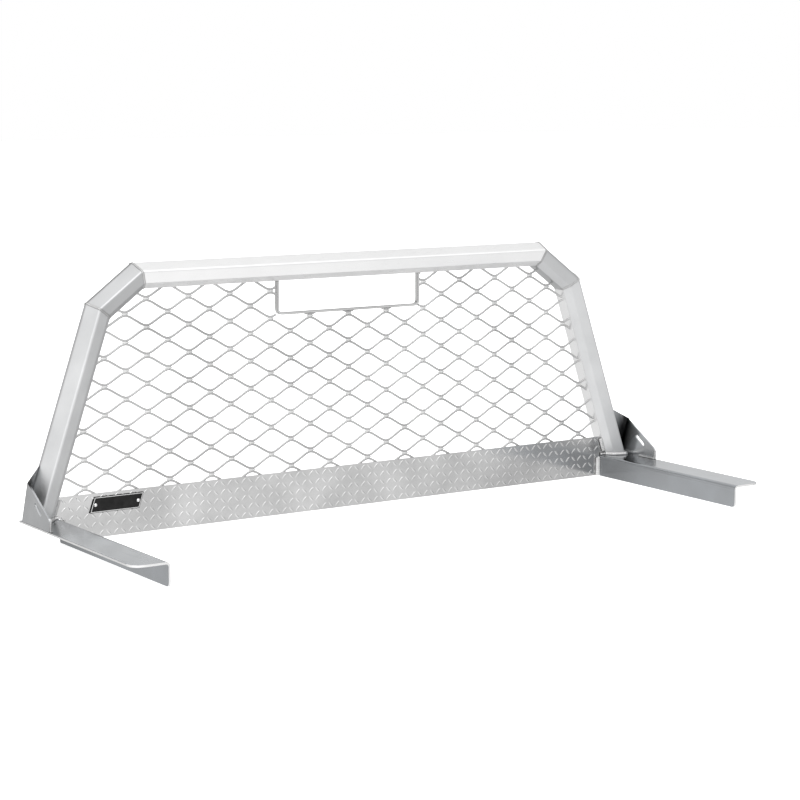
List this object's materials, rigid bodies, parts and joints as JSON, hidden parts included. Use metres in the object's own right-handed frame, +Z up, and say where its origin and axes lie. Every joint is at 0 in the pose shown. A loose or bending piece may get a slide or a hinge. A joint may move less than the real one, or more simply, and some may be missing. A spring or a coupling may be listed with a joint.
{
  "type": "truck cab headache rack",
  "caption": "Welded aluminium cab guard with an expanded-metal screen, brake-light window, tread kick plate and angle arms that lie on the bed rails.",
  "frame": {"origin": "centre line of the rack, half way along the arms, level with the lower edges of the hanging flanges", "axes": "+X to the right along the rack as seen from the tailgate, +Y towards the cab, +Z up"},
  "size_m": [1.75, 0.578, 0.6367],
  "materials": {
    "tube": "mill finish extrusion",
    "sheet": "bright bent sheet",
    "tread": "bright tread plate",
    "screen": "expanded metal, as rolled",
    "weld": "as welded",
    "rivet": "bright",
    "badge": "satin black"
  },
  "bodies": {
    "root": {"top_rail": "tube", "right_corner_tube": "tube", "left_corner_tube": "tube", "right_leg_tube": "tube", "left_leg_tube": "tube", "right_top_mitre_weld": "weld", "left_top_mitre_weld": "weld", "right_knee_mitre_weld": "weld", "left_knee_mitre_weld": "weld", "screen_panel": "screen", "window_frame": "screen", "right_window_weld": "weld", "left_window_weld": "weld", "kick_plate": "tread", "right_plate_to_arm_weld": "weld", "left_plate_to_arm_weld": "weld", "right_plate_to_leg_weld": "weld", "left_plate_to_leg_weld": "weld", "right_rail_angle": "sheet", "left_rail_angle": "sheet", "right_gusset_bracket": "sheet", "left_gusset_bracket": "sheet", "right_gusset_toe_weld": "weld", "left_gusset_toe_weld": "weld", "right_foot_weld": "weld", "left_foot_weld": "weld", "name_badge": "badge", "badge_rivet_outer": "rivet", "badge_rivet_inner": "rivet"}
  },
  "joints": []
}
